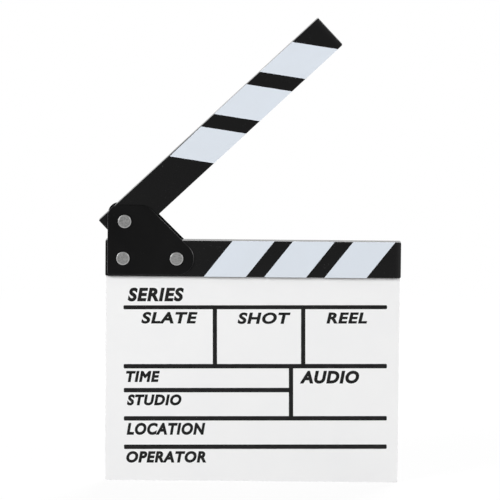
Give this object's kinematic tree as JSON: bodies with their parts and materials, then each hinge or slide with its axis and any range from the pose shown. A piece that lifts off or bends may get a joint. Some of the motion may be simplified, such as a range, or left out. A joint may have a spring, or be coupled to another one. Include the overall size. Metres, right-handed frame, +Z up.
{
  "type": "clapperboard",
  "caption": "Small wooden clapperboard: a white writing board in a grooved black clap stick, with a striped upper stick that swings on riveted hinge plates.",
  "frame": {"origin": "middle of the board's bottom edge, half way through its thickness", "axes": "+X to the right seen from the writing side, the writing side faces -Y, +Z up along the board"},
  "size_m": [0.2044, 0.0152, 0.316],
  "materials": {
    "white_laminate": "satin white dry-wipe laminate",
    "hardboard": "bare cut edge of brown hardboard",
    "black_paint_wood": "satin black paint on straight-grained wood",
    "white_stripe_film": "satin cool white film",
    "black_paint_steel": "satin black coating on sheet steel",
    "rivet_aluminium": "plain dull aluminium",
    "sleeve_brass": "plain turned brass",
    "washer_nylon": "matt black nylon",
    "pin_steel": "bright wire steel"
  },
  "bodies": {
    "slate": {"board_core": "hardboard", "lower_stick": "black_paint_wood", "pivot_sleeve": "sleeve_brass", "front_film": "white_laminate", "back_film": "white_laminate", "lower_stripe_1": "white_stripe_film", "lower_stripe_2": "white_stripe_film", "lower_stripe_3": "white_stripe_film", "front_hinge_plate": "black_paint_steel", "rear_hinge_plate": "black_paint_steel", "pivot_rivet": "rivet_aluminium", "left_fixing_rivet": "rivet_aluminium", "right_fixing_rivet": "rivet_aluminium", "pivot_burr": "rivet_aluminium", "left_fixing_burr": "rivet_aluminium", "right_fixing_burr": "rivet_aluminium", "front_friction_washer": "washer_nylon", "rear_friction_washer": "washer_nylon", "board_pin_1": "pin_steel", "board_pin_2": "pin_steel", "board_pin_3": "pin_steel", "board_pin_4": "pin_steel"},
    "clap_stick": {"upper_stick": "black_paint_wood", "upper_stripe_1": "white_stripe_film", "upper_stripe_2": "white_stripe_film", "upper_stripe_3": "white_stripe_film"}
  },
  "joints": [
    {"name": "clap_hinge", "type": "hinge", "parent": "slate", "child": "clap_stick", "pos_m": [-0.0871, 0, 0.17775], "axis": [0, -1, 0], "range_deg": [-43.37, 46.73]}
  ]
}
